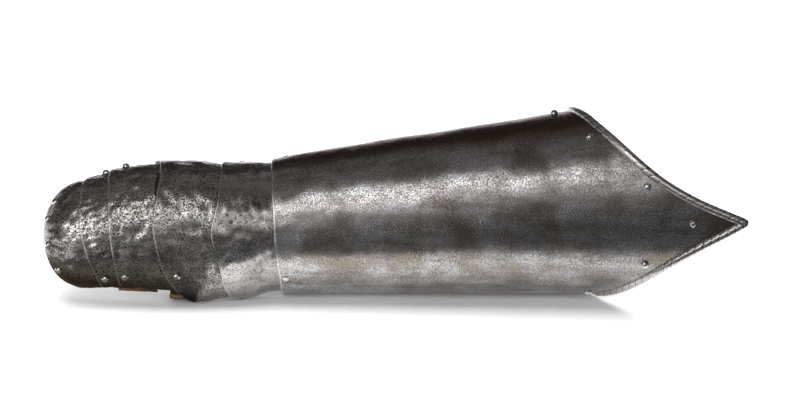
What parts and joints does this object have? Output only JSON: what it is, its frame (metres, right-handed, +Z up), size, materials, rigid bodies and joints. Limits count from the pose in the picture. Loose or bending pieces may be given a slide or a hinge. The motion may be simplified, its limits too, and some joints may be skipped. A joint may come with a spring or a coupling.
{
  "type": "mitten gauntlet",
  "caption": "Steel mitten gauntlet with overlapping finger lames, a knuckle plate and a long pointed cuff with a roped rim, lying on its side.",
  "frame": {"origin": "middle of the box round the part, on the surface that it lies on", "axes": "+X from the fingertips to the point of the cuff, -Y out of the back of the hand, +Z up"},
  "size_m": [0.4984, 0.1458, 0.1366],
  "materials": {
    "plate_steel": "hammered and patinated",
    "rivet_steel": "polished by wear",
    "strap_leather": "old brown leather"
  },
  "bodies": {
    "forearm": {"cuff": "plate_steel", "wrist_pivot_low": "rivet_steel", "wrist_pivot_high": "rivet_steel", "rim_rivet_1": "rivet_steel", "rim_rivet_2": "rivet_steel", "rim_rivet_3": "rivet_steel", "rim_rivet_4": "rivet_steel", "rim_rivet_5": "rivet_steel", "rim_rivet_6": "rivet_steel", "rim_rivet_7": "rivet_steel", "rim_rivet_8": "rivet_steel", "rim_rivet_9": "rivet_steel"},
    "wrist": {"wrist_lame": "plate_steel", "hand_pivot_low": "rivet_steel", "hand_pivot_high": "rivet_steel"},
    "hand": {"metacarpal_plate": "plate_steel", "upper_pivot_low": "rivet_steel", "upper_pivot_high": "rivet_steel", "palm_strap": "strap_leather", "strap_rivet_low": "rivet_steel", "strap_rivet_high": "rivet_steel"},
    "upper_fingers": {"upper_lame": "plate_steel", "middle_pivot_low": "rivet_steel", "middle_pivot_high": "rivet_steel", "finger_edging": "strap_leather"},
    "middle_fingers": {"middle_lame": "plate_steel", "fingertip_pivot_low": "rivet_steel", "fingertip_pivot_high": "rivet_steel"},
    "fingertips": {"fingertip_lame": "plate_steel", "lining_rivet_1": "rivet_steel", "lining_rivet_2": "rivet_steel", "lining_rivet_3": "rivet_steel", "lining_rivet_4": "rivet_steel"}
  },
  "joints": [
    {"name": "wrist_hinge", "type": "hinge", "parent": "forearm", "child": "wrist", "pos_m": [-0.07721, -0.01285, 0.05901], "axis": [-0.0039, -0.6123, -0.7906], "range_deg": [-3, 4]},
    {"name": "hand_hinge", "type": "hinge", "parent": "wrist", "child": "hand", "pos_m": [-0.10858, -0.00412, 0.04657], "axis": [-0.0023, -0.3423, -0.9396], "range_deg": [-3, 5]},
    {"name": "upper_lame_hinge", "type": "hinge", "parent": "hand", "child": "upper_fingers", "pos_m": [-0.15399, -0.01651, 0.05908], "axis": [0.0003, -0.6829, -0.7305], "range_deg": [-4, 8]},
    {"name": "middle_lame_hinge", "type": "hinge", "parent": "upper_fingers", "child": "middle_fingers", "pos_m": [-0.19062, -0.01743, 0.05762], "axis": [-0.0019, -0.599, -0.8007], "range_deg": [-4, 8]},
    {"name": "fingertip_hinge", "type": "hinge", "parent": "middle_fingers", "child": "fingertips", "pos_m": [-0.20479, -0.01598, 0.05402], "axis": [-0.0039, -0.5789, -0.8154], "range_deg": [-4, 9]}
  ]
}
